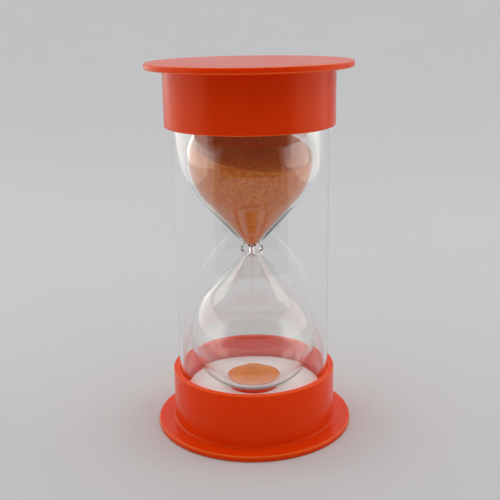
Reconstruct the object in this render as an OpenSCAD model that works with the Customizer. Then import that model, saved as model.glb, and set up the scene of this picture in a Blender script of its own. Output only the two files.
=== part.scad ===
// Sand timer: a blown glass vial of sand held between two moulded caps by a clear tube.
// +Z is up, and the origin is the centre of the base's lower face. Either cap can be the base.
// Profiles are drawn as half sections: X is the distance from the timer's axis.

/* [Overall] */
// Height of the timer, from one cap's flat face to the other's
total_h = 160; // [150:1:200]
// Distance from each flat face to the end of the glass bulb next to it
end_space = 16.9; // [15:0.1:22]

/* [Glass vial] */
// Largest outer diameter of the bulbs
bulb_d = 55.2; // [50:0.2:70]
// Wall of the bulbs, along their sides
bulb_wall = 1.2; // [0.8:0.1:1.6]
// Wall of the bulbs at their rounded ends
bulb_end_wall = 1.6; // [1.2:0.1:2]
// Radius of the bulbs' shoulder, from the widest place towards the end
shoulder_r = 23; // [18:0.5:24]
// Radius of the bulbs' flatter end
end_r = 48.5; // [40:0.5:60]
// Radius of the upper bulb's side, from the widest place towards the neck
upper_side_r = 28.1; // [24:0.1:34]
// Radius of the lower bulb's side, from the widest place towards the neck
lower_side_r = 31.5; // [24:0.1:34]
// Outer radius of the glass where each bulb runs into the neck bead
neck_r = 4; // [3.8:0.1:5]
// Height of that place above and below the neck bead's centre
neck_rise = 2.7; // [2.2:0.1:3.5]
// Radius of the thick round bead of glass at the neck
bead_r = 2.2; // [1.8:0.05:2.4]
// Diameter of the hole that the sand runs through
orifice_d = 1.3; // [1:0.1:2]
// Outer diameter of the filling neck on the upper bulb
filler_d = 8.4; // [7:0.2:10]
// Wall of the filling neck
filler_wall = 1.2; // [0.8:0.1:1.6]
// Length of the filling neck beyond the bulb's end
filler_h = 5; // [4:0.5:7]

/* [Stopper] */
// Length of the stopper's plug
plug_h = 4; // [3:0.5:5]
// Height of the stopper's head
plug_head_h = 2; // [1.5:0.5:3]
// Radial clearance of the plug in the filling neck
plug_fit = 0.05; // [0.05:0.05:0.2]

/* [Clear tube] */
// Radial space between the bulbs and the tube
bulb_gap = 4.15; // [3:0.05:6]
// Wall of the tube
tube_wall = 1.5; // [1:0.1:2.5]

/* [Caps] */
// Radial clearance between the tube and the caps' skirts
tube_fit = 0.2; // [0.1:0.05:0.4]
// Wall of the skirts
skirt_wall = 2.55; // [1.8:0.05:3.5]
// Height of the skirts, beyond the flange
skirt_h = 23.7; // [18:0.1:32]
// How far the flange stands out past the skirt
flange_overhang = 7.5; // [4:0.5:12]
// Thickness of the flange and of the cap's floor
flange_t = 2.6; // [2:0.1:4]
// Rounding of the flange's outer edges
flange_edge_r = 0.9; // [0.3:0.1:1]
// Rounding of the skirt's lip
lip_r = 0.6; // [0.3:0.1:0.8]
// Fillet between the flange and the skirt
root_r = 0.8; // [0.4:0.1:2]
// Outer diameter of the seat that holds the bulb's end
seat_d = 21.4; // [18:0.2:28]
// Wall of that seat, whose bore clears the filling neck and its stopper
seat_wall = 2.3; // [1.8:0.1:3]
// Height of the seat's lip past the place where the bulb meets the seat's bore
seat_lip = 0.2; // [0.1:0.05:0.5]
// Clearance between the bulb and its seat
seat_fit = 0.1; // [0.05:0.05:0.3]

/* [Foam pads] */
// Space between the bulb's end and the pad's surface
pad_drop = 0.4; // [0.2:0.1:2]
// Clearance between a foam pad's hole and the seat
pad_fit = 0.3; // [0.2:0.1:1]
// Clearance between a foam pad's edge and the clear tube
pad_edge_fit = 1.3; // [0.2:0.1:3]

/* [Sand] */
// Clearance between the sand and the glass
sand_fit = 0.1; // [0.05:0.05:0.3]
// Height of the upper sand's surface above the neck, on the axis
upper_level = 46; // [20:0.5:50]
// Tilt of the upper sand's surface, in degrees
upper_tilt = 17; // [0:1:25]
// Direction in which that surface rises, in degrees from +X
upper_rise_dir = 120; // [0:5:355]
// Height above the neck at which the upper sand starts
sand_start = 1.6; // [1.2:0.1:4]
// Diameter of the heap in the lower bulb
heap_d = 24; // [10:0.5:34]
// Height of the heap's peak above its edge
heap_h = 5.4; // [2:0.1:9]
// Diameter of the falling stream of sand
stream_d = 0.6; // [0.3:0.1:0.9]
// Space that the stream leaves at each end
stream_gap = 0.3; // [0.1:0.1:1]

/* [Hidden] */
$fn = 96;

// A bulb's half section is drawn with its neck at Y = 0 and its end at Y = end_y.
mid_z = total_h / 2;
end_y = mid_z - end_space;
bulb_r = bulb_d / 2;

// Distance from the widest place back to the centre of the end's arc, for arcs that meet smoothly
function end_back(widest, shoulder, end) = sqrt(pow(end - shoulder, 2) - pow(widest - shoulder, 2));
// Distance from the axis at which the end's arc meets the shoulder's arc
function end_reach(widest, shoulder, end) = (widest - shoulder) * end / (end - shoulder);
// Height of the widest place above the neck
widest_y = end_y - end_r + end_back(bulb_r, shoulder_r, end_r);
// Angle, from the horizontal, at which a side's arc of radius side runs into the straight cone
function cone_angle(side) =
    let (dx = neck_r - bulb_r + side, dy = widest_y - neck_rise)
    atan2(dy, dx) - acos(side / norm([dx, dy]));

// The bead is a ring, and the orifice is the hole through it.
bead_x = orifice_d / 2 + bead_r;

tube_in_r = bulb_r + bulb_gap;
tube_out_r = tube_in_r + tube_wall;
skirt_in_r = tube_out_r + tube_fit;
skirt_out_r = skirt_in_r + skirt_wall;
flange_r = skirt_out_r + flange_overhang;

filler_bore_r = filler_d / 2 - filler_wall;
// Depth to which the filling neck is sunk into the bulb's end wall, so that they are one piece
filler_root = bulb_end_wall / 2;

// Height above the widest place of a bulb's rounded end, at distance x from the axis, for the face that
// lies inset in from the outer one at the side and end_inset in at the end
function rounded_end_y(x, inset, end_inset) =
    let (widest = bulb_r - inset, shoulder = shoulder_r - end_inset, end = end_r - end_inset)
    x < end_reach(widest, shoulder, end)
        ? sqrt(pow(end, 2) - pow(x, 2)) - end_back(widest, shoulder, end)
        : sqrt(pow(shoulder, 2) - pow(x - widest + shoulder, 2));

seat_r = seat_d / 2;
seat_bore_r = seat_r - seat_wall;
seat_top = mid_z - widest_y - rounded_end_y(seat_bore_r, 0, 0) + seat_lip;

heap_edge_y = widest_y + rounded_end_y(heap_d / 2, bulb_wall, bulb_end_wall);
heap_peak_y = heap_edge_y - heap_h;

// Half section of a bulb, drawn in from its outer face by inset at the side and end_inset at the end
module bulb_section(side, inset, end_inset) {
    widest = bulb_r - inset;
    arc = side - inset;
    shoulder = shoulder_r - end_inset;
    end = end_r - end_inset;
    angle = cone_angle(side);
    centre_x = widest - arc;
    cone_x = centre_x + arc * cos(angle);
    cone_y = widest_y - arc * sin(angle);
    tip_y = cone_y - cone_x / tan(angle);
    reach = end_reach(widest, shoulder, end);
    back = end_back(widest, shoulder, end);

    // cone up to the side's arc
    polygon([[0, tip_y], [cone_x, cone_y], [0, cone_y]]);
    // side
    intersection() {
        translate([centre_x, widest_y]) circle(arc);
        translate([0, cone_y]) square([widest, widest_y - cone_y]);
    }
    // shoulder, a whole circle that the side's and the end's arcs both run into
    intersection() {
        translate([widest - shoulder, widest_y]) circle(shoulder);
        translate([0, widest_y - shoulder]) square([widest, 2 * shoulder]);
    }
    // end
    intersection() {
        translate([0, widest_y - back]) circle(end);
        translate([0, widest_y]) square([reach, end]);
    }
}

// Half section of the space that sand can fill in a bulb, kept fit clear of the glass
module sand_space(side, fit) {
    difference() {
        intersection() {
            bulb_section(side, bulb_wall + fit, bulb_end_wall + fit);
            translate([0, sand_start]) square([bulb_r, end_y]);
        }
        translate([bead_x, 0]) circle(bead_r + fit);
    }
}

// Half section of one half of the vial, with its neck at Y = 0
module vial_half(side) {
    difference() {
        intersection() {
            bulb_section(side, 0, 0);
            square([bulb_r, end_y]);
        }
        bulb_section(side, bulb_wall, bulb_end_wall);
    }
}

module glass_vial() {
    color("lightcyan", 0.35) translate([0, 0, mid_z]) rotate_extrude() difference() {
        union() {
            vial_half(upper_side_r);
            mirror([0, 1]) vial_half(lower_side_r);
            translate([bead_x, 0]) circle(bead_r);
            translate([0, end_y - filler_root]) square([filler_d / 2, filler_h + filler_root]);
        }
        // orifice
        translate([0, -neck_rise]) square([orifice_d / 2, 2 * neck_rise]);
        // bore of the filling neck
        translate([0, end_y - end_r / 2]) square([filler_bore_r, end_r]);
    }
}

module filler_stopper() {
    plug_r = filler_bore_r - plug_fit;
    color("white") translate([0, 0, mid_z + end_y + filler_h]) {
        translate([0, 0, -plug_h]) cylinder(r = plug_r, h = plug_h + plug_head_h / 2);
        cylinder(d = filler_d, h = plug_head_h);
    }
}

// One cap, with its flat face at Z = 0 and its skirt upwards
module cap() {
    color("orangered") difference() {
        rotate_extrude() {
            // flange, with a rounded outer edge
            square([flange_r - flange_edge_r, flange_t]);
            translate([0, flange_edge_r]) square([flange_r, flange_t - 2 * flange_edge_r]);
            for (y = [flange_edge_r, flange_t - flange_edge_r])
                translate([flange_r - flange_edge_r, y]) circle(flange_edge_r);
            // skirt, with a rounded lip
            translate([skirt_in_r, 0]) square([skirt_wall, flange_t + skirt_h - lip_r]);
            translate([skirt_in_r + lip_r, 0]) square([skirt_wall - 2 * lip_r, flange_t + skirt_h]);
            for (x = [skirt_in_r + lip_r, skirt_out_r - lip_r])
                translate([x, flange_t + skirt_h - lip_r]) circle(lip_r);
            // fillet
            translate([skirt_out_r, flange_t]) difference() {
                square(root_r);
                translate([root_r, root_r]) circle(root_r);
            }
            // seat
            translate([seat_bore_r, 0]) square([seat_wall, seat_top]);
        }
        // dish that the bulb's end lies in
        translate([0, 0, mid_z]) rotate_extrude() mirror([0, 1])
            bulb_section(lower_side_r, -seat_fit, -seat_fit);
    }
}

module bottom_cap() {
    cap();
}

module top_cap() {
    translate([0, 0, total_h]) mirror([0, 0, 1]) cap();
}

module clear_tube() {
    color("azure", 0.3) translate([0, 0, flange_t]) rotate_extrude()
        translate([tube_in_r, 0]) square([tube_wall, total_h - 2 * flange_t]);
}

// One foam ring, lying on its cap's floor around the seat
module foam_pad() {
    pad_in_r = seat_r + pad_fit;
    pad_out_r = tube_in_r - pad_edge_fit;
    color("white") translate([0, 0, flange_t]) rotate_extrude()
        translate([pad_in_r, 0]) square([pad_out_r - pad_in_r, end_space - pad_drop - flange_t]);
}

module bottom_foam_pad() {
    foam_pad();
}

module top_foam_pad() {
    translate([0, 0, total_h]) mirror([0, 0, 1]) foam_pad();
}

// Sand that hasn't run yet, with a surface that slopes as the sand came to rest
module upper_sand() {
    color("peru") translate([0, 0, mid_z]) intersection() {
        rotate_extrude() sand_space(upper_side_r, sand_fit);
        translate([0, 0, upper_level]) rotate([0, 0, upper_rise_dir]) rotate([0, -upper_tilt, 0])
            translate([-bulb_d, -bulb_d, -2 * bulb_d]) cube(2 * bulb_d);
    }
}

module falling_sand() {
    color("peru") translate([0, 0, mid_z - heap_peak_y + stream_gap])
        cylinder(d = stream_d, h = heap_peak_y + sand_start - 2 * stream_gap);
}

// Sand that has run through, as a low cone in the lower bulb's rounded end
module sand_heap() {
    color("sandybrown") translate([0, 0, mid_z]) rotate_extrude() mirror([0, 1]) intersection() {
        sand_space(lower_side_r, sand_fit);
        polygon([[0, heap_peak_y], [heap_d / 2, heap_edge_y], [heap_d / 2, end_y], [0, end_y]]);
    }
}

bottom_cap();
top_cap();
clear_tube();
glass_vial();
filler_stopper();
bottom_foam_pad();
top_foam_pad();
upper_sand();
falling_sand();
sand_heap();
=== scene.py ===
"""Sand timer: a blown vial of sand between two moulded caps and a clear tube.

The surfaces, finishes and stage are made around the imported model. Lengths are in metres, with +Z up
and the timer's axis at X = Y = 0. An outline is drawn in the plane of the axis, as pairs of distance
from the axis and height, with the material on its left.
"""

import math

import bpy
import numpy as np
from bpy.props import FloatProperty, FloatVectorProperty, IntProperty, PointerProperty
from mathutils import Matrix, Vector


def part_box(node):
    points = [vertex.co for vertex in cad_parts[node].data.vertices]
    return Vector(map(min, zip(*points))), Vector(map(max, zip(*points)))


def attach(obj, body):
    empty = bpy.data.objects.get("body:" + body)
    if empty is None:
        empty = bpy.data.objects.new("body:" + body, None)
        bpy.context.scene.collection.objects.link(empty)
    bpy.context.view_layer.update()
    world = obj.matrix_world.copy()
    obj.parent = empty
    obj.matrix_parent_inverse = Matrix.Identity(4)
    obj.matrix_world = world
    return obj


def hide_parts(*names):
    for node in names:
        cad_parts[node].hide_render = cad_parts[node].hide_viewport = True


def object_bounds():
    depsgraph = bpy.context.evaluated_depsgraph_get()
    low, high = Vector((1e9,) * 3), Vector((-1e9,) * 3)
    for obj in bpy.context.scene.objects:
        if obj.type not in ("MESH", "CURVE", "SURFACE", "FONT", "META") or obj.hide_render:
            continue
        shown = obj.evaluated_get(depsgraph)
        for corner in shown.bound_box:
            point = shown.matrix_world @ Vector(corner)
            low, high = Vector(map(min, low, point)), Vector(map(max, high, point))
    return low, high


bl_info = {
    "name": "Sand timer",
    "version": (1, 0, 0),
    "blender": (4, 5, 0),
    "location": "3D View > Sidebar > Sand timer",
    "description": "Makes a sand timer's pieces, their finishes and a plain stage around its packed model",
    "category": "Object",
}

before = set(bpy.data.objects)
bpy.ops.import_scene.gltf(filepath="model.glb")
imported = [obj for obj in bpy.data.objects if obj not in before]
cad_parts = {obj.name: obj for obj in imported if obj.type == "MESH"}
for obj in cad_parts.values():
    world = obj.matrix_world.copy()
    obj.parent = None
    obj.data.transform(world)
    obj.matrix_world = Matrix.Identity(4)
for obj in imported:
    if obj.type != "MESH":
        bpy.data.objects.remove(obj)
CAD_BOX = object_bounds()

MM = 0.001
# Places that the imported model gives
CAP_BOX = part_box("bottom_cap")
TUBE_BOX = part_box("clear_tube")
VIAL_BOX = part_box("glass_vial")
STOPPER_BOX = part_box("filler_stopper")
PAD_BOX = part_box("bottom_foam_pad")
HEAP_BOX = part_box("sand_heap")
MID_Z = (CAD_BOX[0].z + CAD_BOX[1].z) / 2

TURN_STEPS = 256
# Points along each of the three arcs of a bulb's outline
SIDE_POINTS, SHOULDER_POINTS, END_POINTS = 26, 30, 12
# Distance from a rounded edge at which a flat face gets a line of points, so that it shades flat
EDGE_SUPPORT = 0.1 * MM


# -------------------- sizes and colours


def size(label, description, value):
    """A length property."""
    return FloatProperty(name=label, description=description, default=value, unit="LENGTH", precision=5)


def colour(label, description, value):
    """A colour property, as linear red, green and blue."""
    return FloatVectorProperty(
        name=label, description=description, default=value, subtype="COLOR", size=3, min=0, max=1
    )


def share(label, description, value, top=1.0):
    """A plain number property from 0 to top."""
    return FloatProperty(name=label, description=description, default=value, min=0, max=top)


def angle(label, description, degrees):
    """An angle property."""
    return FloatProperty(name=label, description=description, default=math.radians(degrees), unit="ROTATION")


class CapSettings(bpy.types.PropertyGroup):
    """Sizes and colours of the two caps."""

    flange_thickness: size("Flange thickness", "Thickness of the flange and floor", TUBE_BOX[0].z)
    edge_rounding: size("Edge rounding", "Rounding of the flange's inner edge", 0.9 * MM)
    face_rounding: size("Face rounding", "Rounding of the edge round the flat outer face", 0.5 * MM)
    skirt_radius: size("Skirt radius", "Outer radius of the skirt", 36 * MM)
    skirt_wall: size("Skirt wall", "Wall of the skirt", 2.55 * MM)
    lip_rounding: size("Lip rounding", "Rounding of the skirt's lip", 0.6 * MM)
    root_rounding: size("Root rounding", "Fillet between flange and skirt", 0.8 * MM)
    seat_radius: size("Seat radius", "Outer radius of the seat under the bulb", 10.7 * MM)
    seat_wall: size("Seat wall", "Wall of the seat", 2.3 * MM)
    seat_lip: size("Seat lip", "Height of the seat past where the bulb meets its bore", 0.2 * MM)
    seat_rounding: size("Seat rounding", "Rounding of the seat's edges", 0.25 * MM)
    plastic: colour("Plastic", "Colour of the moulded plastic", (0.95, 0.052, 0.001))
    # Painted highlight: this paler colour is painted along the rounded edges and lips as a painted glint and
    # glow; it is also the pale end of the plastic's random tone.
    pale_tone_and_highlight: colour("Worn plastic", "Paler colour of rubbed edges and thin lips", (1.0, 0.20, 0.035))
    gloss_roughness: share("Roughness", "Roughness of the clean plastic", 0.22)
    glow_share: share("Glow share", "How much of the light goes into the plastic before it leaves", 0.7)
    glow_depth: size("Glow depth", "How far red light goes in the plastic", 5 * MM)


class TubeSettings(bpy.types.PropertyGroup):
    """Sizes and finish of the clear tube."""

    wall: size("Wall", "Wall of the tube", 1.5 * MM)
    edge_rounding: size("Edge rounding", "Rounding of the cut ends", 0.25 * MM)
    tint: colour("Tint", "Colour of the clear plastic", (0.985, 0.99, 0.99))
    ior: FloatProperty(name="IOR", description="Index of refraction", default=1.49, min=1, max=2)


class VialSettings(bpy.types.PropertyGroup):
    """Sizes and finish of the blown vial."""

    wall: size("Wall", "Wall of the bulbs along their sides", 1.2 * MM)
    end_wall: size("End wall", "Wall of the bulbs at their rounded ends", 1.6 * MM)
    shoulder_radius: size("Shoulder radius", "Arc from the widest place towards the end", 23 * MM)
    end_radius: size("End radius", "Arc of the flatter end", 48.5 * MM)
    upper_side: size("Upper side radius", "Arc from the upper bulb's widest place to its cone", 28.1 * MM)
    lower_side: size("Lower side radius", "Arc from the lower bulb's widest place to its cone", 31.5 * MM)
    neck_radius: size("Neck radius", "Outer radius where the cones reach the bead", 4 * MM)
    neck_rise: size("Neck rise", "Height of that place from the bead's centre", 2.7 * MM)
    bead_radius: size("Bead radius", "Radius of the thick bead at the neck", 2.2 * MM)
    bead_fillet: size("Bead fillet", "Radius of the glass drawn in beside the bead", 0.9 * MM)
    orifice_radius: size("Orifice radius", "Radius of the hole for the sand", 0.65 * MM)
    orifice_blend: size("Orifice blend", "Softness with which the cones run into the hole", 0.4 * MM)
    filler_radius: size("Filler radius", "Outer radius of the filling neck", 4.2 * MM)
    filler_wall: size("Filler wall", "Wall of the filling neck", 1.2 * MM)
    filler_fillet: size("Filler fillet", "Radius where the filling neck leaves the bulb", 1 * MM)
    tint: colour("Tint", "Colour of the glass", (0.985, 0.99, 0.985))
    ior: FloatProperty(name="IOR", description="Index of refraction", default=1.5, min=1, max=2)


class StopperSettings(bpy.types.PropertyGroup):
    """Sizes and colour of the stopper in the filling neck."""

    plug_length: size("Plug length", "Length of the plug inside the neck", 4 * MM)
    plug_clearance: size("Plug clearance", "Radial clearance of the plug", 0.05 * MM)
    rounding: size("Rounding", "Rounding of its edges", 0.3 * MM)
    rubber: colour("Rubber", "Colour of the rubber", (0.70, 0.68, 0.62))


class PadSettings(bpy.types.PropertyGroup):
    """Sizes and colour of the two foam pads."""

    bore_radius: size("Bore radius", "Radius of the hole round the seat", 11 * MM)
    edge_rounding: size("Edge rounding", "Rounding of the cut edges", 0.5 * MM)
    cut_wobble: size("Cut wobble", "Depth of the unevenness of the cut edge", 0.45 * MM)
    face_wobble: size("Face wobble", "Depth of the unevenness of the faces", 0.12 * MM)
    foam: colour("Foam", "Colour of the foam", (0.97, 0.965, 0.96))


class SandSettings(bpy.types.PropertyGroup):
    """Sizes and colours of the sand."""

    fit: size("Fit", "Space between the sand and the glass", 0.1 * MM)
    tip_rise: size("Tip rise", "Height above the bead's centre at which the upper sand starts", 0.5 * MM)
    level: size("Level", "Height of the upper surface above the bead's centre, on the axis", 46 * MM)
    tilt: angle("Tilt", "Slope of the upper surface", 17)
    rise_direction: angle("Rise direction", "Direction in which it rises, from +X", 120)
    dip_depth: size("Dip depth", "Depth of the hollow where the sand runs down", 2.4 * MM)
    dip_radius: size("Dip radius", "Spread of that hollow", 6 * MM)
    heap_radius: size("Heap radius", "Radius of the heap", 12 * MM)
    heap_round: size("Heap rounding", "Softness of the heap's peak", 2 * MM)
    roughness_height: size("Surface grain", "Height of the loose grains on the free surfaces", 0.18 * MM)
    grain_radius: size("Grain radius", "Mean radius of the falling grains", 0.12 * MM)
    stream_radius: size("Stream radius", "Spread of the falling grains", 0.2 * MM)
    start_speed: FloatProperty(
        name="Start speed", description="Speed at which grains leave the hole", default=0.15, unit="VELOCITY"
    )
    grain_count: IntProperty(name="Grains", description="Number of falling grains", default=110, min=1)
    light: colour("Light grains", "Colour of the lighter grains", (1.0, 0.36, 0.06))
    dark: colour("Dark grains", "Colour of the darker grains", (0.60, 0.06, 0.006))


class StageSettings(bpy.types.PropertyGroup):
    """Camera, lights and floor."""

    camera_distance: size("Camera distance", "From the timer's axis, along the floor", 365 * MM)
    camera_height: size("Camera height", "Above the floor", 180.46 * MM)
    pitch: angle("Pitch", "How far the camera looks down", 15.52)
    roll: angle("Roll", "Turn of the camera about its line of sight", -0.93)
    yaw: angle("Yaw", "Turn of the camera to its left", 0.13)
    lens: FloatProperty(
        name="Lens", description="Focal length on a 36 mm sensor", default=62.42, unit="CAMERA"
    )
    floor_radius: size("Floor radius", "Where the floor starts to curve up", 0.6)
    sweep_radius: size("Sweep radius", "Radius of the curve that the floor rises in", 3.0)
    sweep: angle("Sweep", "Angle through which it curves up", 60)
    backdrop: colour("Backdrop", "Colour of floor and backdrop", (0.685, 0.69, 0.70))
    room_light: share("Room light", "Brightness of the soft light from all round", 0.84, top=10)
    dark_room: share("Dark room", "Brightness of what glossy surfaces see over the panels", 0.32, top=10)
    back_light: share("Back light", "Brightness of what they see high at the back", 1.0, top=10)
    panel_light: share("Panel light", "Brightness of the side panels", 1.15, top=50)
    lamp_light: share("Lamp light", "Brightness of the lamps over the panels", 1.7, top=50)
    panel_colour: colour("Panel colour", "Colour of the panels and lamps", (1.0, 0.9, 0.8))
    panel_distance: size("Panel distance", "From the timer's axis to a side panel", 0.6)
    lamp_distance: size("Lamp distance", "From the timer's middle to a lamp", 0.8)
    screen_distance: size("Screen distance", "From the axis to the dark screen on the camera's side", 0.28)
    screen_height: size("Screen height", "Height of that screen", 0.36)
    screen_half_angle: angle("Screen half angle", "Half of the angle that the screen goes round", 52)
    screen_grey: share("Screen grey", "Tone of the screen", 0.06)


SETTINGS = {
    "timer_cap": CapSettings,
    "timer_tube": TubeSettings,
    "timer_vial": VialSettings,
    "timer_stopper": StopperSettings,
    "timer_pad": PadSettings,
    "timer_sand": SandSettings,
    "timer_stage": StageSettings,
}


# -------------------- outlines


def arc(centre, radius, start, stop, count):
    """Points on a circle: the centre plus the radius times the cosine and sine of an even run of angles."""
    turn = np.linspace(start, stop, count)
    return np.array(centre) + radius * np.stack([np.cos(turn), np.sin(turn)], axis=1)


def rounded(corners, closed, steps=8):
    """An outline with rounded corners, and how far each of its points lies on a rounded outer edge, 0 to 1.

    A corner is (distance, height, radius). It is cut back by radius / tan(half the angle between its
    sides), and the arc that touches both sides fills the gap.
    """
    places = np.array([c[:2] for c in corners], float)
    points, edges = [], []
    for i, (here, radius) in enumerate(zip(places, [c[2] for c in corners])):
        if radius == 0 or (not closed and i in (0, len(places) - 1)):
            points.append([here])
            edges.append([0.0])
            continue
        back = places[i - 1] - here
        on = places[(i + 1) % len(places)] - here
        back /= np.linalg.norm(back)
        on /= np.linalg.norm(on)
        half = math.acos(float(np.clip(back @ on, -1, 1))) / 2
        cut = radius / math.tan(half)
        middle = here + (back + on) / np.linalg.norm(back + on) * radius / math.sin(half)
        start, stop = here + back * cut - middle, here + on * cut - middle
        first = math.atan2(start[1], start[0])
        turn = (math.atan2(stop[1], stop[0]) - first + math.pi) % (2 * math.pi) - math.pi
        points += [[here + back * (cut + EDGE_SUPPORT)], arc(middle, radius, first, first + turn, steps + 1)]
        points.append([here + on * (cut + EDGE_SUPPORT)])
        swell = np.sin(np.linspace(0, math.pi, steps + 1)) * (turn > 0)
        edges += [[0.0], swell, [0.0]]
    return np.concatenate(points), np.concatenate(edges)


def ring_outline(box, inner, rounding, steps):
    """The outline of a plain ring that fills the box, with that inner radius and rounded edges."""
    low, high, outer = box[0].z, box[1].z, box[1].x
    corners = [(outer, low), (outer, high), (inner, high), (inner, low)]
    return rounded([(*c, rounding) for c in corners], closed=True, steps=steps)[0]


def end_back(widest, shoulder, end):
    """How far the end arc's centre lies behind the widest place, for arcs that meet smoothly."""
    return math.sqrt((end - shoulder) ** 2 - (widest - shoulder) ** 2)


def bulb_measures(vial, side):
    """Height of the widest place from the neck, and the angle at which a side arc meets the cone.

    The cone is the straight line through the neck's edge that touches the side arc.
    """
    radius = VIAL_BOX[1].x
    end_height = MID_Z - VIAL_BOX[0].z
    widest = end_height - vial.end_radius + end_back(radius, vial.shoulder_radius, vial.end_radius)
    across = vial.neck_radius - radius + side
    up = widest - vial.neck_rise
    return widest, math.atan2(up, across) - math.acos(side / math.hypot(across, up))


def cone_line(vial, side, inset):
    """The cone's outward normal in the outline's plane, and its distance from the origin along it."""
    turn = bulb_measures(vial, side)[1]
    normal = np.array([math.cos(turn), -math.sin(turn)])
    return normal, normal @ np.array([vial.neck_radius, vial.neck_rise]) - inset


def bulb_outline(vial, side, inset, end_inset):
    """One bulb's outline from the top of its cone to its pole, with the neck at height 0.

    Side, shoulder and end are three arcs that meet smoothly. The insets move them in from the outer face.
    """
    widest_height, turn = bulb_measures(vial, side)
    widest = VIAL_BOX[1].x - inset
    flank = side - inset
    shoulder = vial.shoulder_radius - end_inset
    end = vial.end_radius - end_inset
    back = end_back(widest, shoulder, end)
    meeting = math.atan2(back, widest - shoulder)
    return np.concatenate(
        [
            arc((widest - flank, widest_height), flank, -turn, 0, SIDE_POINTS),
            arc((widest - shoulder, widest_height), shoulder, 0, meeting, SHOULDER_POINTS)[1:],
            arc((0, widest_height - back), end, meeting, math.pi / 2, END_POINTS)[1:],
        ]
    )


def bead_outline(vial, side):
    """The neck's outer face from the bead's widest point to the cone: bead arc, then a hollow fillet.

    The fillet's centre lies bead radius + fillet from the bead's centre, and one fillet from the cone.
    """
    normal, reach = cone_line(vial, side, 0)
    along = np.array([-normal[1], normal[0]])
    bead = np.array([vial.orifice_radius + vial.bead_radius, 0])
    out = reach + vial.bead_fillet - normal @ bead
    hollow = bead + out * normal + along * math.sqrt((vial.bead_radius + vial.bead_fillet) ** 2 - out**2)
    lean = math.atan2(hollow[1] - bead[1], hollow[0] - bead[0])
    cone_side = math.atan2(-normal[1], -normal[0])
    return np.concatenate(
        [
            arc(bead, vial.bead_radius, 0, lean, 16),
            arc(hollow, vial.bead_fillet, lean - math.pi, cone_side - 2 * math.pi * (cone_side > 0), 8)[1:],
        ]
    )


def throat_end(vial):
    """Height from the bead's centre at which the throat has gone over into a bulb's cone."""
    return 3 * vial.neck_rise


def throat_radius(vial, height, fit):
    """Inner radius of the neck: a soft maximum of the hole's radius and the cone's, less the fit.

    The soft maximum of a and b is half of a + b + the root of (a - b) squared + blend squared.
    """
    cones = []
    for side in (vial.upper_side, vial.lower_side):
        normal, reach = cone_line(vial, side, vial.wall)
        cones.append((reach - normal[1] * np.abs(height)) / normal[0])
    cone = np.where(height > 0, cones[0], cones[1])
    hole = vial.orifice_radius
    return (hole + cone + np.sqrt((hole - cone) ** 2 + vial.orifice_blend**2)) / 2 - fit


def inner_outline(vial, side, fit):
    """One bulb's inner face from above the throat to the pole, drawn in by the fit."""
    bulb = bulb_outline(vial, side, vial.wall + fit, vial.end_wall + fit)
    sign = 1 if side == vial.upper_side else -1
    height = np.linspace(throat_end(vial), bulb[0, 1], 8)[:-1]
    lead = np.stack([throat_radius(vial, sign * height, fit), height], axis=1)
    return np.concatenate([lead, bulb])


def flip(outline):
    """The outline mirrored below the neck, and run the other way."""
    return outline[::-1] * np.array([1, -1])


# -------------------- meshes


def grid_mesh(name, points, closed=True, ring=False, start_pole=False, end_pole=False, marks=None):
    """A mesh from a grid of points whose rows run round the axis, and close up if closed is true.

    The columns close up too if ring is true, and a pole draws its whole column into one point. marks
    gives one number for each column, stored as the attribute "edge".
    """
    turns, columns = points.shape[:2]
    index = np.arange(turns * columns).reshape(turns, columns)
    if start_pole:
        index[:, 0] = index[0, 0]
    if end_pole:
        index[:, -1] = index[0, -1]
    used = np.unique(index)
    ahead = np.roll(index, -1, axis=0)
    if not closed:
        index, ahead = index[:-1], ahead[:-1]
    if ring:
        quads = np.stack([index, ahead, np.roll(ahead, -1, axis=1), np.roll(index, -1, axis=1)], axis=-1)
    else:
        quads = np.stack([index[:, :-1], ahead[:, :-1], ahead[:, 1:], index[:, 1:]], axis=-1)
    place = np.zeros(turns * columns, int)
    place[used] = np.arange(len(used))
    faces = []
    if start_pole:
        faces += place[quads[:, 0][:, [0, 2, 3]]].tolist()
        quads = quads[:, 1:]
    if end_pole:
        faces += place[quads[:, -1][:, [0, 1, 2]]].tolist()
        quads = quads[:, :-1]
    faces += place[quads].reshape(-1, 4).tolist()
    mesh = bpy.data.meshes.new(name)
    mesh.from_pydata(points.reshape(-1, 3)[used].tolist(), [], faces)
    if marks is not None:
        edge = mesh.attributes.new("edge", "FLOAT", "POINT")
        edge.data.foreach_set("value", np.tile(marks, turns)[used].astype(np.float32))
    mesh.shade_smooth()
    mesh.validate()
    return mesh


def full_turn(steps=TURN_STEPS):
    """The angles of a full turn, as a column."""
    return np.linspace(0, 2 * math.pi, steps, endpoint=False)[:, None]


def swept(turn, distance, height):
    """Grid of points at those angles: distance times cosine and sine, and height."""
    return np.stack(np.broadcast_arrays(distance * np.cos(turn), distance * np.sin(turn), height), axis=-1)


def turned(outline, steps=TURN_STEPS):
    """Grid of points of an outline turned about the axis."""
    return swept(full_turn(steps), outline[:, 0], outline[:, 1])


def upside_down(points):
    """The points of a piece of the bottom end, turned over to the top end."""
    return points[::-1] * np.array([1, 1, -1]) + np.array([0, 0, CAD_BOX[1].z])


def wobble(turn, depth, waves, seed):
    """An uneven line round the axis, from 0 to about depth: sines of the given wave numbers, summed."""
    chance = np.random.RandomState(seed)
    total = sum(np.sin(n * turn + chance.uniform(0, 2 * math.pi)) for n in waves)
    return depth * (0.5 + 0.5 * total / len(waves))


def loose_grains(sand, fade, seed):
    """Random dips down to the height of the loose grains, times the fade at each point."""
    return sand.roughness_height * np.random.RandomState(seed).uniform(-1, 0, fade.shape) * fade


def placed(mesh, material):
    """A finished mesh as an object in the scene, under the mesh's name."""
    mesh.materials.append(material)
    made = bpy.data.objects.new(mesh.name, mesh)
    bpy.context.scene.collection.objects.link(made)
    return made


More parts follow.
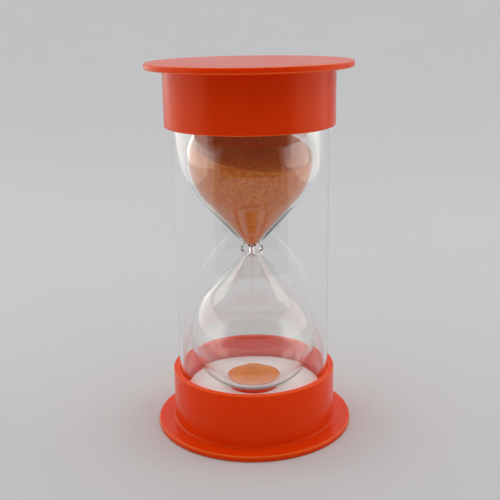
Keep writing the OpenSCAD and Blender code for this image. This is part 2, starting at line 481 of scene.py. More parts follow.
def add_piece(mesh, material, slot, *nodes):
    """Puts a finished mesh in the scene as the piece that stands for those nodes."""
    piece = placed(mesh, material)
    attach(piece, "root")
    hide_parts(*nodes)
    return piece


# -------------------- node groups and finishes


def node(tree, kind, inputs=None, **settings):
    """Adds a node, sets it up, and sets or links its inputs."""
    made = tree.nodes.new(kind)
    for key, value in settings.items():
        setattr(made, key, value)
    for key, value in (inputs or {}).items():
        if isinstance(value, bpy.types.NodeSocket):
            tree.links.new(value, made.inputs[key])
        else:
            made.inputs[key].default_value = value
    return made


def maths(tree, operation, first, second=0.0, third=0.0):
    """The output of a Math node."""
    return node(tree, "ShaderNodeMath", {0: first, 1: second, 2: third}, operation=operation).outputs[0]


def ranged(tree, value, low, high, to_low=0.0, to_high=1.0):
    """A value carried from one range to another, and kept inside it."""
    inputs = {"Value": value, "From Min": low, "From Max": high, "To Min": to_low, "To Max": to_high}
    return node(tree, "ShaderNodeMapRange", inputs).outputs["Result"]


def mixed(tree, factor, first, second):
    """A mix of two colours."""
    made = node(tree, "ShaderNodeMix", data_type="RGBA")
    for socket, value in ((made.inputs[0], factor), (made.inputs[6], first), (made.inputs[7], second)):
        if isinstance(value, bpy.types.NodeSocket):
            tree.links.new(value, socket)
        elif socket.type == "RGBA":
            socket.default_value = (*value[:3], 1)
        else:
            socket.default_value = value
    return made.outputs[2]


def noise(tree, vector, scale, detail=2.0):
    """The output of a Noise Texture node."""
    inputs = {"Vector": vector, "Scale": scale, "Detail": detail}
    return node(tree, "ShaderNodeTexNoise", inputs).outputs["Fac"]


def random_cells(tree, given):
    """Cells of random size: the distance from each one's middle, and three random numbers for it."""
    inputs = {"Vector": given["Vector"], "Scale": given["Scale"]}
    cells = node(tree, "ShaderNodeTexVoronoi", inputs).outputs
    return cells["Distance"], node(tree, "ShaderNodeSeparateColor", {"Color": cells["Color"]}).outputs


def mottle(group, given):
    """Soft clouds of tone in two sizes."""
    coarse = noise(group, given["Vector"], given["Scale"], 3.0)
    fine = noise(group, given["Vector"], maths(group, "MULTIPLY", given["Scale"], 7.3))
    both = maths(group, "MULTIPLY_ADD", fine, 0.35, maths(group, "MULTIPLY", coarse, 0.65))
    return {"Tone": ranged(group, both, 0.35, 0.65)}


def moulded_skin(group, given):
    """The faint waviness and pebble that a polished mould leaves on plastic."""
    pebble = noise(group, given["Vector"], given["Scale"])
    waves = noise(group, given["Vector"], maths(group, "MULTIPLY", given["Scale"], 0.12), 1.0)
    return {"Height": maths(group, "MULTIPLY_ADD", pebble, 0.25, waves)}


def scuffs(group, given):
    """Hairline rubs: thin lines where stretched noise passes its middle value, broken up by patches."""
    lines = []
    for stretch, turn in (((1, 1, 0.06), (0.5, 0.2, 0.3)), ((0.07, 1, 1), (0.1, 0.9, 1.2))):
        inputs = {"Vector": given["Vector"], "Rotation": turn, "Scale": stretch}
        streaks = noise(group, node(group, "ShaderNodeMapping", inputs).outputs[0], given["Scale"])
        off = maths(group, "ABSOLUTE", maths(group, "SUBTRACT", streaks, 0.5))
        lines.append(ranged(group, off, 0.0, 0.006, 1.0, 0.0))
    where = ranged(group, noise(group, given["Vector"], given["Scale"]), 0.5, 0.62)
    mask = maths(group, "MULTIPLY", maths(group, "MAXIMUM", *lines), where)
    return {"Mask": maths(group, "MULTIPLY", mask, given["Amount"])}


def grains(group, given):
    """Packed grains: one tone for each cell, and a dome over it."""
    off, chance = random_cells(group, given)
    return {"Tone": chance[0], "Sparkle": chance[1], "Height": ranged(group, off, 0.0, 0.9, 1.0, 0.0)}


def dust(group, given):
    """Sparse specks: the middles of a few random cells."""
    off, chance = random_cells(group, given)
    picked = maths(group, "LESS_THAN", chance[2], given["Amount"])
    return {"Mask": maths(group, "MULTIPLY", ranged(group, off, 0.03, 0.12, 1.0, 0.0), picked)}


def drawn_waves(group, given):
    """Long shallow waves along the axis, as drawn tube and blown glass have."""
    squeeze = node(group, "ShaderNodeCombineXYZ", {"X": 1.0, "Y": 1.0, "Z": given["Stretch"]}).outputs[0]
    space = node(group, "ShaderNodeVectorMath", {0: given["Vector"], 1: squeeze}, operation="MULTIPLY")
    return {"Height": noise(group, space.outputs[0], given["Scale"], 1.0)}


# Each shared effect's maker, and its inputs with their usual values
EFFECTS = {
    "mottle": (mottle, {"Scale": 60.0}),
    "moulded_skin": (moulded_skin, {"Scale": 1400.0}),
    "scuffs": (scuffs, {"Scale": 90.0, "Amount": 0.5}),
    "grains": (grains, {"Scale": 3500.0}),
    "dust": (dust, {"Scale": 260.0, "Amount": 0.06}),
    "drawn_waves": (drawn_waves, {"Scale": 70.0, "Stretch": 0.2}),
}


def new_group(name):
    """The shader node group of a shared effect, with named sockets."""
    maker, given = EFFECTS[name]
    group = bpy.data.node_groups.new(name, "ShaderNodeTree")
    group.interface.new_socket(name="Vector", in_out="INPUT", socket_type="NodeSocketVector")
    for label, value in given.items():
        socket = group.interface.new_socket(name=label, in_out="INPUT", socket_type="NodeSocketFloat")
        socket.default_value = value
    results = maker(group, node(group, "NodeGroupInput").outputs)
    for label in results:
        group.interface.new_socket(name=label, in_out="OUTPUT", socket_type="NodeSocketFloat")
    node(group, "NodeGroupOutput", results)
    return group


def effect(tree, name, space, **inputs):
    """Places the group of a shared effect, built the first time it is asked for."""
    group = bpy.data.node_groups.get(name) or new_group(name)
    return node(tree, "ShaderNodeGroup", {"Vector": space, **inputs}, node_tree=group).outputs


def new_finish(name, **constants):
    """A material with a Principled shader: its tree, the shader, and the piece's own space."""
    material = bpy.data.materials.new(name)
    material.use_nodes = True
    tree = material.node_tree
    shader = tree.nodes["Principled BSDF"]
    for label, value in constants.items():
        shader.inputs[label.replace("_", " ")].default_value = value
    return material, tree, shader, node(tree, "ShaderNodeTexCoord").outputs["Object"]


def connect(tree, shader, **sockets):
    """Links outputs to the shader's inputs of those names."""
    for label, socket in sockets.items():
        tree.links.new(socket, shader.inputs[label.replace("_", " ")])


def bumped(tree, height, distance, strength=1.0):
    """The normal of a bump of that height, in metres from valley to peak."""
    inputs = {"Height": height, "Distance": distance, "Strength": strength}
    return node(tree, "ShaderNodeBump", inputs).outputs["Normal"]


def cap_finish(cap):
    """Glossy orange-red moulding plastic, with a painted highlight: its rounded edges and lips are painted
    paler.
    """
    material, tree, shader, space = new_finish(
        "orange_moulding",
        IOR=1.5,
        Specular_IOR_Level=0.18,
        Specular_Tint=(1.0, 0.7, 0.4, 1),
        Subsurface_Weight=cap.glow_share,
        Subsurface_Radius=(1.0, 0.25, 0.06),
        Subsurface_Scale=cap.glow_depth,
    )
    tone = effect(tree, "mottle", space, Scale=55.0)["Tone"]
    edge = node(tree, "ShaderNodeAttribute", attribute_name="edge").outputs["Fac"]
    specks = effect(tree, "dust", space, Scale=420.0, Amount=0.01)["Mask"]
    rubs = effect(tree, "scuffs", space, Scale=75.0, Amount=0.6)["Mask"]
    body = mixed(tree, ranged(tree, tone, 0.0, 1.0, 0.0, 0.04), cap.plastic, cap.pale_tone_and_highlight)
    # Painted highlight: the crests of the rounded edges are painted in the paler colour, and are also made
    # less rough.
    highlight_crest = maths(tree, "POWER", edge, 4.0)
    rim = mixed(tree, maths(tree, "MULTIPLY", highlight_crest, 0.9), body, cap.pale_tone_and_highlight)
    dusty = mixed(tree, maths(tree, "MULTIPLY", specks, 0.12), rim, (0.75, 0.6, 0.55))
    rough = maths(tree, "MULTIPLY_ADD", tone, 0.07, cap.gloss_roughness - 0.035)
    rough = maths(tree, "MULTIPLY_ADD", rubs, 0.06, rough)
    rough = maths(tree, "MULTIPLY_ADD", highlight_crest, -0.08, rough)
    skin = effect(tree, "moulded_skin", space, Scale=1500.0)["Height"]
    connect(tree, shader, Base_Color=dusty, Roughness=rough, Normal=bumped(tree, skin, 0.02 * MM))
    return material


def clear_finish(name, tint, ior, wave_scale, stretch, wave_depth, smudges):
    """Clear tube plastic or glass, with drawn waves and faint smudges. Lamps and soft light shine through."""
    material, tree, shader, space = new_finish(
        name, Base_Color=(*tint, 1), IOR=ior, Transmission_Weight=1.0, Metallic=0.0
    )
    smear = effect(tree, "mottle", space, Scale=40.0)["Tone"]
    rubs = effect(tree, "scuffs", space, Scale=60.0, Amount=0.5)["Mask"]
    rough = maths(tree, "MULTIPLY", smear, smudges)
    rough = maths(tree, "MULTIPLY_ADD", rubs, smudges * 4, rough)
    waves = effect(tree, "drawn_waves", space, Scale=wave_scale, Stretch=stretch)["Height"]
    connect(tree, shader, Roughness=rough, Normal=bumped(tree, waves, wave_depth))
    path = node(tree, "ShaderNodeLightPath").outputs
    through = node(tree, "ShaderNodeBsdfTransparent").outputs[0]
    soft = node(tree, "ShaderNodeMixShader", {0: path["Is Diffuse Ray"], 1: shader.outputs[0], 2: through})
    lamps = node(tree, "ShaderNodeMixShader", {0: path["Is Shadow Ray"], 1: soft.outputs[0], 2: through})
    tree.links.new(lamps.outputs[0], tree.nodes["Material Output"].inputs["Surface"])
    return material


def sand_finish(sand):
    """Fine dyed sand: each grain has its own tone and a few are pale. The heap's free surface is painted
    lighter, as painted light.

    All bodies of sand share it.
    """
    if "dyed_sand" in bpy.data.materials:
        return bpy.data.materials["dyed_sand"]
    material, tree, shader, space = new_finish("dyed_sand", IOR=1.5, Specular_IOR_Level=0.1)
    grit = effect(tree, "grains", space, Scale=3600.0)
    drift = effect(tree, "mottle", space, Scale=130.0)["Tone"]
    clumps = effect(tree, "mottle", space, Scale=750.0)["Tone"]
    uneven = maths(tree, "MULTIPLY_ADD", clumps, 0.45, maths(tree, "MULTIPLY", drift, 0.15))
    tone = maths(tree, "MULTIPLY_ADD", grit["Tone"], 0.4, uneven)
    # Painted light: the heap's free surface, marked 1 in the attribute, is painted lighter than the rest of
    # the sand.
    painted_heap_light = node(tree, "ShaderNodeAttribute", attribute_name="edge").outputs["Fac"]
    tone = maths(tree, "MULTIPLY_ADD", painted_heap_light, 0.3, tone)
    body = mixed(tree, tone, sand.dark, sand.light)
    pale = ranged(tree, grit["Sparkle"], 0.95, 0.97)
    speckled = mixed(tree, maths(tree, "MULTIPLY", pale, 0.5), body, (0.86, 0.68, 0.5))
    rough = ranged(tree, grit["Sparkle"], 0.0, 1.0, 0.9, 0.6)
    normal = bumped(tree, grit["Height"], 0.12 * MM, 0.8)
    connect(tree, shader, Base_Color=speckled, Roughness=rough, Normal=normal)
    return material


def foam_finish(pad):
    """Fine-celled white foam, with painted shade in the hollows between the cells."""
    material, tree, shader, space = new_finish("white_foam", IOR=1.4, Specular_IOR_Level=0.2)
    cells = effect(tree, "grains", space, Scale=1900.0)
    clouds = effect(tree, "mottle", space, Scale=45.0)["Tone"]
    # Painted shade: the foam is painted a little darker where the cells' bumps dip between them.
    shaded_pores = mixed(tree, ranged(tree, cells["Height"], 0.2, 0.7, 0.1, 0.0), pad.foam, (0.45, 0.42, 0.4))
    body = mixed(tree, ranged(tree, clouds, 0.0, 1.0, 0.0, 0.06), shaded_pores, (0.62, 0.58, 0.55))
    rough = ranged(tree, cells["Tone"], 0.0, 1.0, 0.8, 0.95)
    connect(tree, shader, Base_Color=body, Roughness=rough, Normal=bumped(tree, cells["Height"], 0.12 * MM))
    return material


def rubber_finish(stopper):
    """Milky rubber with a matt moulded skin and a little dust."""
    material, tree, shader, space = new_finish("milky_rubber", IOR=1.45)
    tone = effect(tree, "mottle", space, Scale=160.0)["Tone"]
    specks = effect(tree, "dust", space, Scale=900.0, Amount=0.1)["Mask"]
    body = mixed(tree, ranged(tree, tone, 0.0, 1.0, 0.0, 0.2), stopper.rubber, (0.5, 0.47, 0.42))
    dusty = mixed(tree, maths(tree, "MULTIPLY", specks, 0.5), body, (0.85, 0.84, 0.8))
    skin = effect(tree, "moulded_skin", space, Scale=2500.0)["Height"]
    rough = ranged(tree, tone, 0.0, 1.0, 0.5, 0.62)
    connect(tree, shader, Base_Color=dusty, Roughness=rough, Normal=bumped(tree, skin, 0.03 * MM))
    return material


def backdrop_finish(stage):
    """Plain pale paper with the faintest tooth."""
    material, tree, shader, space = new_finish("pale_paper", Roughness=0.9, Specular_IOR_Level=0.2)
    tone = effect(tree, "mottle", space, Scale=6.0)["Tone"]
    darker = [0.985 * c for c in stage.backdrop]
    connect(tree, shader, Base_Color=mixed(tree, tone, darker, stage.backdrop))
    return material


def screen_finish(stage):
    """Dark cloth with a slight mottle. It is clear to whoever looks straight through the glass at it."""
    material, tree, shader, space = new_finish("dark_cloth", Roughness=0.95, Specular_IOR_Level=0.0)
    tone = effect(tree, "mottle", space, Scale=9.0)["Tone"]
    grey = stage.screen_grey
    connect(tree, shader, Base_Color=mixed(tree, tone, [0.8 * grey] * 3, [grey] * 3))
    path = node(tree, "ShaderNodeLightPath").outputs
    turns = maths(tree, "ADD", path["Glossy Depth"], path["Diffuse Depth"])
    shown = ranged(tree, maths(tree, "ADD", turns, path["Is Shadow Ray"]), 0.0, 1.0)
    clear = node(tree, "ShaderNodeBsdfTransparent").outputs[0]
    cloth = node(tree, "ShaderNodeMixShader", {0: shown, 1: clear, 2: shader.outputs[0]})
    tree.links.new(cloth.outputs[0], tree.nodes["Material Output"].inputs["Surface"])
    return material


# -------------------- pieces


class TimerOperator:
    """What the operators share."""

    bl_options = {"REGISTER", "UNDO"}


class TIMER_OT_caps(TimerOperator, bpy.types.Operator):
    """Make the two moulded caps: a flanged disc with a skirt and a seat for the bulb's end"""

    bl_idname = "sand_timer.make_caps"
    bl_label = "Caps"

    def execute(self, context):
        cap, vial = context.scene.timer_cap, context.scene.timer_vial
        outline, edges = rounded(self.corners(cap, vial), closed=False)
        points, finish = turned(outline), cap_finish(cap)
        for name, node_name, place in (
            ("bottom_cap_moulding", "bottom_cap", points),
            ("top_cap_moulding", "top_cap", upside_down(points)),
        ):
            mesh = grid_mesh(name, place, start_pole=True, end_pole=True, marks=edges)
            add_piece(mesh, finish, "cap_plastic", node_name)
        return {"FINISHED"}

    @staticmethod
    def corners(cap, vial):
        """The cap's corners, from the middle of its flat face out, up its skirt and back over its floor."""
        flange, lip = CAP_BOX[1].x, CAP_BOX[1].z
        floor = cap.flange_thickness
        inner = cap.skirt_radius - cap.skirt_wall
        bore = cap.seat_radius - cap.seat_wall
        widest = MID_Z - bulb_measures(vial, vial.lower_side)[0]
        across = VIAL_BOX[1].x - vial.shoulder_radius
        bulb_at_bore = widest - math.sqrt(vial.shoulder_radius**2 - (bore - across) ** 2)
        seat_top = bulb_at_bore + cap.seat_lip
        clearance = 0.1 * MM
        dish = across + math.sqrt(vial.shoulder_radius**2 - (widest - seat_top) ** 2)
        return [
            (0, 0, 0),
            (flange, 0, cap.face_rounding),
            (flange, floor, cap.edge_rounding),
            (cap.skirt_radius, floor, cap.root_rounding),
            (cap.skirt_radius, lip, cap.lip_rounding),
            (inner, lip, cap.lip_rounding),
            (inner, floor, cap.seat_rounding),
            (cap.seat_radius, floor, cap.seat_rounding),
            (cap.seat_radius, seat_top, cap.seat_rounding),
            (dish, seat_top, 0),
            (bore, bulb_at_bore - clearance, 0),
            (bore, floor, cap.seat_rounding),
            (0, floor, 0),
        ]


class TIMER_OT_tube(TimerOperator, bpy.types.Operator):
    """Make the clear tube that joins the caps"""

    bl_idname = "sand_timer.make_tube"
    bl_label = "Clear tube"

    def execute(self, context):
        tube = context.scene.timer_tube
        outline = ring_outline(TUBE_BOX, TUBE_BOX[1].x - tube.wall, tube.edge_rounding, 4)
        mesh = grid_mesh("clear_tube_wall", turned(outline), ring=True)
        waves = {"wave_scale": 45.0, "stretch": 0.05, "wave_depth": 0.02 * MM}
        finish = clear_finish("drawn_acrylic", tube.tint, tube.ior, smudges=0.006, **waves)
        add_piece(mesh, finish, "tube_acrylic", "clear_tube")
        return {"FINISHED"}


class TIMER_OT_vial(TimerOperator, bpy.types.Operator):
    """Make the blown vial: two bulbs, the bead with its hole between them, and the filling neck"""

    bl_idname = "sand_timer.make_vial"
    bl_label = "Glass vial"

    def execute(self, context):
        vial = context.scene.timer_vial
        outline = np.concatenate([self.outer(vial), self.inner(vial)]) + np.array([0, MID_Z])
        mesh = grid_mesh("blown_vial", turned(outline), start_pole=True, end_pole=True)
        waves = {"wave_scale": 60.0, "stretch": 0.5, "wave_depth": 0.04 * MM}
        finish = clear_finish("blown_glass", vial.tint, vial.ior, smudges=0.003, **waves)
        add_piece(mesh, finish, "vial_glass", "glass_vial")
        return {"FINISHED"}

    @staticmethod
    def outer(vial):
        """The outer face from the lower pole up to the rim of the filling neck, which is rounded by fire."""
        upper = bulb_outline(vial, vial.upper_side, 0, 0)
        fillet = vial.filler_radius + vial.filler_fillet
        upper = upper[(upper[:, 0] > fillet) | (upper[:, 1] < upper[0, 1] + vial.neck_rise)]
        root = upper[-1, 1] + vial.filler_fillet
        rim = vial.filler_wall / 2
        rim_height = VIAL_BOX[1].z - MID_Z - rim
        return np.concatenate(
            [
                flip(bulb_outline(vial, vial.lower_side, 0, 0)),
                flip(bead_outline(vial, vial.lower_side)),
                bead_outline(vial, vial.upper_side)[1:],
                upper,
                arc((fillet, root), vial.filler_fillet, -math.pi / 2, -math.pi, 6),
                arc((vial.filler_radius - rim, rim_height), rim, 0, math.pi, 8),
            ]
        )

    @staticmethod
    def inner(vial):
        """The inner face from the filling neck's bore down through both bulbs to the lower pole."""
        upper = inner_outline(vial, vial.upper_side, 0)
        bore = vial.filler_radius - vial.filler_wall
        upper = upper[(upper[:, 0] > bore) | (upper[:, 1] < 2 * throat_end(vial))]
        height = np.linspace(throat_end(vial), -throat_end(vial), 48)
        throat = np.stack([throat_radius(vial, height, 0), height], axis=1)
        lower = inner_outline(vial, vial.lower_side, 0) * np.array([1, -1])
        mouth = np.array([[bore, upper[-1, 1]]])
        return np.concatenate([mouth, upper[::-1], throat[1:-1], lower])


class TIMER_OT_stopper(TimerOperator, bpy.types.Operator):
    """Make the rubber stopper of the filling neck"""

    bl_idname = "sand_timer.make_stopper"
    bl_label = "Stopper"

    def execute(self, context):
        stopper, vial = context.scene.timer_stopper, context.scene.timer_vial
        plug = vial.filler_radius - vial.filler_wall - stopper.plug_clearance
        head, low, high = STOPPER_BOX[1].x, STOPPER_BOX[0].z, STOPPER_BOX[1].z
        step = low + stopper.plug_length
        corners = [
            (0, low, 0),
            (plug, low, stopper.rounding),
            (plug, step, 0),
            (head, step, stopper.rounding),
            (head, high, stopper.rounding),
            (0, high, 0),
        ]
        outline, _ = rounded(corners, closed=False, steps=6)
        mesh = grid_mesh("filling_neck_plug", turned(outline, 96), start_pole=True, end_pole=True)
        add_piece(mesh, rubber_finish(stopper), "stopper_rubber", "filler_stopper")
        return {"FINISHED"}


class TIMER_OT_pads(TimerOperator, bpy.types.Operator):
    """Make the two foam pads, with the uneven edge of a hand-cut ring"""

    bl_idname = "sand_timer.make_pads"
    bl_label = "Foam pads"

    def execute(self, context):
        pad = context.scene.timer_pad
        low, high, outer = PAD_BOX[0].z, PAD_BOX[1].z, PAD_BOX[1].x
        outline = ring_outline(PAD_BOX, pad.bore_radius, pad.edge_rounding, 6)
        finish = foam_finish(pad)
        turn = full_turn()
        for name, node_name, seed, on_top in (
            ("bottom_foam_ring", "bottom_foam_pad", 3, False),
            ("top_foam_ring", "top_foam_pad", 5, True),
        ):
            points = turned(self.filled(outline))
            reach = np.hypot(points[..., 0], points[..., 1])
            outwards = np.clip((reach - pad.bore_radius) / (outer - pad.bore_radius), 0, 1)
            # The high powers of outwards keep the unevenness of the cut near the outer edge
            drawn_in = wobble(turn, pad.cut_wobble, (5, 7, 11, 17, 29), seed) * outwards**6
            points[..., :2] *= (1 - drawn_in / reach)[..., None]
            swirl = 9 * outwards
            sag = wobble(turn + swirl, pad.face_wobble, (2, 3, 5, 8), seed + 1)
            edge_sag = wobble(turn, pad.cut_wobble, (4, 9, 13, 19), seed + 2) * outwards**10
            upward = (points[..., 2] - low) / (high - low)
            points[..., 2] -= (sag + edge_sag) * upward
            if on_top:
                points = upside_down(points)
            mesh = grid_mesh(name, points, ring=True)
            ring = add_piece(mesh, finish, "pad_foam", node_name)
        return {"FINISHED"}

    @staticmethod
    def filled(outline):
        """The outline with its long sides cut into short steps, so that they can be uneven."""
        sides = []
        for start, stop in zip(outline, np.roll(outline, -1, axis=0)):
            count = max(2, int(np.linalg.norm(stop - start) / MM) + 1)
            sides.append(np.linspace(start, stop, count)[:-1])
        return np.concatenate(sides)


class TIMER_OT_upper_sand(TimerOperator, bpy.types.Operator):
    """Make the sand that hasn't run yet, with a sloping grainy surface and a hollow over the hole"""

    bl_idname = "sand_timer.make_upper_sand"
    bl_label = "Upper sand"

    def execute(self, context):
        sand, vial = context.scene.timer_sand, context.scene.timer_vial
        wall_points, surface_points, grain_fade = 150, 110, 6 * MM
        inside = inner_outline(vial, vial.upper_side, sand.fit)
        tip = np.linspace(sand.tip_rise, inside[0, 1], 40)[:-1]
        inside = np.concatenate([np.stack([throat_radius(vial, tip, sand.fit), tip], axis=1), inside])
        turn = full_turn()
        slope = math.tan(sand.tilt) * np.cos(turn - sand.rise_direction)
        contact = sand.level + 0 * turn
        # The height at which the sloping surface meets the glass settles after a few rounds
        for _ in range(30):
            contact = sand.level + slope * np.interp(contact, inside[:, 1], inside[:, 0])
        # The power draws the points together towards the surface
        climb = np.linspace(0, 1, wall_points) ** 0.8
        height = sand.tip_rise + (contact - sand.tip_rise) * climb
        wall = np.interp(height, inside[:, 1], inside[:, 0])
        reach = wall[:, -1:] * (1 - np.linspace(0, 1, surface_points)[1:])
        hollow = sand.dip_depth * np.exp(-((reach / sand.dip_radius) ** 2))
        rough = loose_grains(sand, np.minimum(1, reach / grain_fade), 11)
        surface = sand.level + slope * reach - hollow + rough
        surface[:, -1] = surface[:, -1].mean()
        tip_column = np.zeros_like(turn)
        distance = np.concatenate([tip_column, wall, reach], axis=1)
        height = np.concatenate([tip_column + sand.tip_rise, height, surface], axis=1) + MID_Z
        mesh = grid_mesh("waiting_sand", swept(turn, distance, height), start_pole=True, end_pole=True)
        add_piece(mesh, sand_finish(sand), "sand", "upper_sand")
        return {"FINISHED"}


class TIMER_OT_heap(TimerOperator, bpy.types.Operator):
    """Make the low heap of sand in the lower bulb"""

    bl_idname = "sand_timer.make_heap"
    bl_label = "Sand heap"

    def execute(self, context):
        sand, vial = context.scene.timer_sand, context.scene.timer_vial
        below = inner_outline(vial, vial.lower_side, sand.fit)[::-1] * np.array([1, -1])
        below = below[: np.argmax(below[:, 0])]
        bowl = below[below[:, 0] < sand.heap_radius]
        edge_height = np.interp(sand.heap_radius, below[:, 0], below[:, 1])
        base = np.concatenate([bowl, [[sand.heap_radius, edge_height]]])
        surface_points, peak_fade, edge_fade, unevenness = 120, 3 * MM, 1 * MM, 0.09
        reach = sand.heap_radius * (1 - np.linspace(0, 1, surface_points)[1:])
        peak = HEAP_BOX[1].z - MID_Z - edge_height
        soft = sand.heap_round
        slope = peak / (math.hypot(sand.heap_radius, soft) - soft)
        cone = edge_height + slope * (math.hypot(sand.heap_radius, soft) - np.hypot(reach, soft))
        turn = full_turn()
        drawn_in = wobble(turn, unevenness, (1, 2, 3, 5, 9, 17, 31), 21)
        lean = 1 - drawn_in * (reach / sand.heap_radius) ** 2
        fade = np.minimum(1, reach / peak_fade) * np.minimum(1, (sand.heap_radius - reach) / edge_fade)
        rough = loose_grains(sand, fade + 0 * turn, 17)
        distance = np.concatenate([base[:, 0] + 0 * turn, reach * lean], axis=1)
        height = np.concatenate([base[:, 1] + 0 * turn, cone + rough], axis=1) + MID_Z
        points = swept(turn, distance, height)
        # Painted light: the free surface is marked so that the sand's finish paints it lighter.
        painted_heap_light = np.repeat([0.0, 1.0], [len(base), len(reach)])
        mesh = grid_mesh("run_sand_heap", points, start_pole=True, end_pole=True, marks=painted_heap_light)
        add_piece(mesh, sand_finish(sand), "sand", "sand_heap")
        return {"FINISHED"}


class TIMER_OT_stream(TimerOperator, bpy.types.Operator):
    """Make the thin stream of grains that fall from the hole onto the heap"""

    bl_idname = "sand_timer.make_stream"
    bl_label = "Falling sand"

    def execute(self, context):
        sand = context.scene.timer_sand
        chance = np.random.RandomState(29)
        count = sand.grain_count
        top, bottom = MID_Z + sand.tip_rise, HEAP_BOX[1].z
        gravity = 9.81
        last = (math.sqrt(sand.start_speed**2 + 2 * gravity * (top - bottom)) - sand.start_speed) / gravity
        moment = last * (np.arange(count) + chance.uniform(0, 1, count)) / count
        height = top - sand.start_speed * moment - gravity * moment**2 / 2
        spread = sand.stream_radius * np.sqrt(chance.uniform(0, 1, count)) * (0.6 + 0.4 * moment / last)
        turn = chance.uniform(0, 2 * math.pi, count)
        centres = np.stack([spread * np.cos(turn), spread * np.sin(turn), height], axis=1)
        shape = self.grain()
        scale = sand.grain_radius * chance.uniform(0.75, 1.2, (count, 1, 3))
        knobbly = chance.uniform(0.85, 1.1, (count, len(shape), 1))
        points = centres[:, None] + shape * scale * knobbly
        faces = self.grain_faces()[None] + len(shape) * np.arange(count)[:, None, None]
        mesh = bpy.data.meshes.new("falling_grains")
        mesh.from_pydata(points.reshape(-1, 3).tolist(), [], faces.reshape(-1, 3).tolist())
        add_piece(mesh, sand_finish(sand), "sand", "falling_sand")
        return {"FINISHED"}

    @staticmethod
    def grain():
        """A twenty-sided grain: two poles and two staggered rings of five points, all at distance 1."""
        ring = np.arange(5) * 2 * math.pi / 5
        high = 1 / math.sqrt(5)
        far = 2 * high
        upper = np.stack([far * np.cos(ring), far * np.sin(ring), 0 * ring + high], axis=1)
        ring = ring + math.pi / 5
        lower = np.stack([far * np.cos(ring), far * np.sin(ring), 0 * ring - high], axis=1)
        return np.concatenate([[[0, 0, 1]], upper, lower, [[0, 0, -1]]])

    @staticmethod
    def grain_faces():
        """Its faces: five round each pole, and ten between the rings."""
        here = np.arange(5)
        ahead = (here + 1) % 5
        top = np.stack([0 * here, 1 + here, 1 + ahead], axis=1)
        down = np.stack([1 + here, 6 + here, 1 + ahead], axis=1)
        up = np.stack([1 + ahead, 6 + here, 6 + ahead], axis=1)
        under = np.stack([0 * here + 11, 6 + ahead, 6 + here], axis=1)
        return np.concatenate([top, down, up, under])


# -------------------- stage


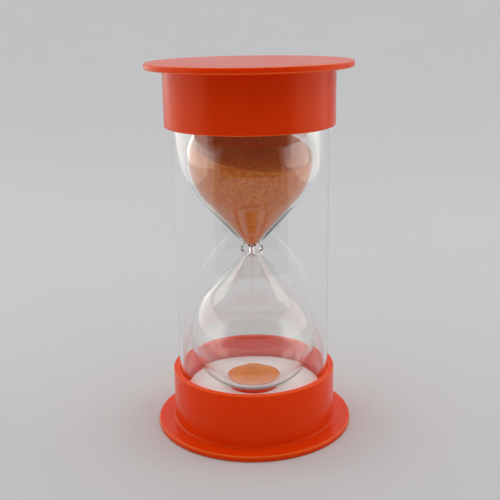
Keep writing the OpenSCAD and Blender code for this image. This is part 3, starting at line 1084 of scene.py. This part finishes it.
class TIMER_OT_stage(TimerOperator, bpy.types.Operator):
    """Make the plain stage: a pale floor that curves up all round, soft panels of light, and the camera"""

    bl_idname = "sand_timer.make_stage"
    bl_label = "Stage"

    def execute(self, context):
        scene, stage = context.scene, context.scene.timer_stage
        self.floor(stage)
        self.screens(stage)
        self.lights(scene, stage)
        self.camera(scene, stage)
        scene.view_settings.view_transform = "Standard"
        scene.cycles.max_bounces = 20
        scene.cycles.transmission_bounces = 20
        scene.cycles.glossy_bounces = 6
        scene.cycles.diffuse_bounces = 4
        scene.cycles.transparent_max_bounces = 32
        return {"FINISHED"}

    @staticmethod
    def floor(stage):
        """The floor and backdrop: a flat disc that goes over into a wide arc."""
        far, radius = stage.floor_radius, stage.sweep_radius
        rise = arc((far, radius), radius, -math.pi / 2, stage.sweep - math.pi / 2, 60)
        outline = np.concatenate([[[0, 0]], rise])[::-1] + np.array([0, CAD_BOX[0].z - 0.05 * MM])
        mesh = grid_mesh("backdrop", turned(outline, 128), end_pole=True)
        backdrop = placed(mesh, backdrop_finish(stage))

    @staticmethod
    def screens(stage):
        """Two dark arcs about the timer on the camera's side: a wide one that only reflections show, and
        a narrow one that also holds off some of the soft light."""
        finish = screen_finish(stage)
        # Each screen's foot, half angle, and how much nearer than the other it stands
        for name, low, half_angle, nearer in (
            ("wide_screen", 0, stage.screen_half_angle, 0),
            ("narrow_screen", stage.screen_height / 3, stage.screen_half_angle / 2, 0.01),
        ):
            turn = np.linspace(-half_angle, half_angle, 49)[:, None] - math.pi / 2
            height = np.linspace(low, stage.screen_height, 9)
            points = swept(turn, stage.screen_distance - nearer, height)
            screen = placed(grid_mesh(name, points, closed=False), finish)
            screen.visible_camera = False
            screen.visible_diffuse = screen.visible_shadow = nearer > 0

    @staticmethod
    def lights(scene, stage):
        """Soft light from all round, a long panel on each side, and a brighter lamp over each panel."""
        world = bpy.data.worlds.new("room")
        world.use_nodes = True
        tree = world.node_tree
        path = node(tree, "ShaderNodeLightPath").outputs
        mirrored = maths(tree, "MAXIMUM", path["Is Glossy Ray"], path["Is Transmission Ray"])
        direction = node(tree, "ShaderNodeTexCoord").outputs["Generated"]
        backward = node(tree, "ShaderNodeSeparateXYZ", {"Vector": direction}).outputs["Y"]
        room = ranged(tree, backward, 0.3, 0.8, stage.dark_room, stage.back_light)
        strength = ranged(tree, mirrored, 0.0, 1.0, stage.room_light, room)
        tree.nodes["Background"].inputs["Color"].default_value = (1, 1, 1, 1)
        tree.links.new(strength, tree.nodes["Background"].inputs["Strength"])
        scene.world = world
        far, lamp_far, lamp_side = stage.panel_distance, stage.lamp_distance, 0.3
        middle = Vector((0, 0, MID_Z))
        # Directions from the timer's middle to the lamps
        left, right = Vector((-0.760, 0.354, 0.545)), Vector((0.768, 0.177, 0.616))
        # Each light's place, the place it faces, its length and height, and its brightness
        for name, place, target, across, high, brightness in (
            ("left_panel", (-far, 0.36, 0.15), (0, 0.36, 0.15), 1.36, 0.3, stage.panel_light),
            ("right_panel", (far, -0.01, 0.2), (0, -0.01, 0.2), 0.67, 0.4, stage.panel_light),
            ("left_lamp", middle + left * lamp_far, middle, lamp_side, lamp_side, stage.lamp_light),
            ("right_lamp", middle + right * lamp_far, middle, lamp_side, lamp_side, stage.lamp_light),
        ):
            lamp = bpy.data.lights.new(name, "AREA")
            lamp.shape = "RECTANGLE"
            lamp.color = stage.panel_colour
            lamp.size, lamp.size_y = across, high
            lamp.energy = brightness * math.pi * across * high
            panel = bpy.data.objects.new(name, lamp)
            panel.location = place
            panel.rotation_euler = (Vector(target) - Vector(place)).to_track_quat("-Z", "Y").to_euler()
            panel.visible_camera = False
            panel.visible_diffuse = name.endswith("lamp")
            scene.collection.objects.link(panel)

    @staticmethod
    def camera(scene, stage):
        """The camera: yaw about the upright, then pitch down, then roll about its line of sight."""
        data = bpy.data.cameras.new("camera")
        data.sensor_width = 36
        data.lens = stage.lens
        camera = bpy.data.objects.new("camera", data)
        turn = (
            Matrix.Rotation(stage.yaw, 4, "Z")
            @ Matrix.Rotation(math.pi / 2 - stage.pitch, 4, "X")
            @ Matrix.Rotation(stage.roll, 4, "Z")
        )
        camera.matrix_world = Matrix.Translation((0, -stage.camera_distance, stage.camera_height)) @ turn
        scene.collection.objects.link(camera)
        scene.camera = camera


class TIMER_PT_sidebar(bpy.types.Panel):
    """The sand timer's tools in the 3D view's sidebar"""

    bl_idname = "TIMER_PT_sidebar"
    bl_label = "Sand timer"
    bl_space_type = "VIEW_3D"
    bl_region_type = "UI"
    bl_category = "Sand timer"

    def draw(self, context):
        for maker in MAKERS:
            self.layout.operator(maker.bl_idname)


MAKERS = (
    TIMER_OT_stage,
    TIMER_OT_caps,
    TIMER_OT_tube,
    TIMER_OT_vial,
    TIMER_OT_stopper,
    TIMER_OT_pads,
    TIMER_OT_upper_sand,
    TIMER_OT_stream,
    TIMER_OT_heap,
)


def register():
    """Registers the settings, the operators and the panel."""
    for name, settings in SETTINGS.items():
        bpy.utils.register_class(settings)
        setattr(bpy.types.Scene, name, PointerProperty(type=settings))
    for cls in (*MAKERS, TIMER_PT_sidebar):
        bpy.utils.register_class(cls)


def unregister():
    """Removes them again."""
    for cls in (TIMER_PT_sidebar, *reversed(MAKERS)):
        bpy.utils.unregister_class(cls)
    for name, settings in reversed(SETTINGS.items()):
        delattr(bpy.types.Scene, name)
        bpy.utils.unregister_class(settings)


def main():
    """Makes every piece in order."""
    register()
    for maker in MAKERS:
        family, verb = maker.bl_idname.split(".")
        getattr(getattr(bpy.ops, family), verb)()


if __name__ == "__main__":
    main()
